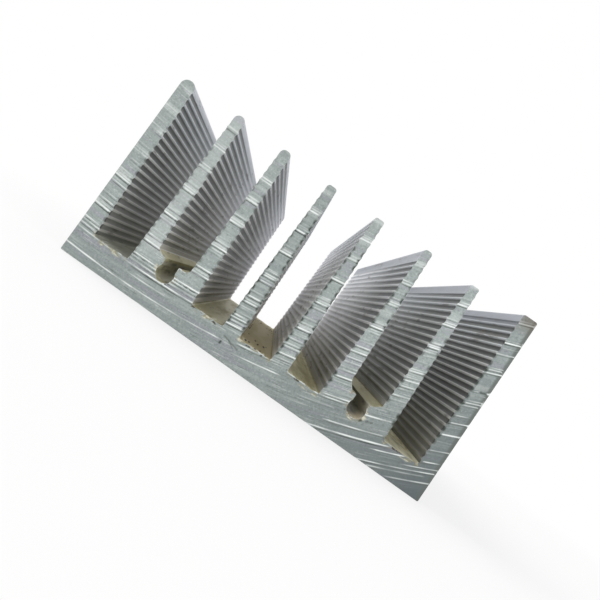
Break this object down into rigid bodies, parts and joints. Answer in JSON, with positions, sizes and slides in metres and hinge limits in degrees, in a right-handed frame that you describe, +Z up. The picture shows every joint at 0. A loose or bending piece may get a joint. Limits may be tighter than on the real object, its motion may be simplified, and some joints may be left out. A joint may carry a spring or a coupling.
{
  "type": "extruded heat sink",
  "caption": "Flat-based aluminium extrusion with tapered, fluted cooling fins and two open screw channels for an end plate.",
  "frame": {"origin": "middle of the flat underside of the base", "axes": "+X across the fins, +Y along the extrusion, +Z up from the base to the fin tips; the end seen first faces -Y"},
  "size_m": [0.08, 0.1, 0.0395],
  "materials": {
    "extrusion": "mill-finish extrusion with faint die lines along its length, and ends left as sawn"
  },
  "bodies": {
    "root": {"heat_sink": "extrusion"}
  },
  "joints": []
}
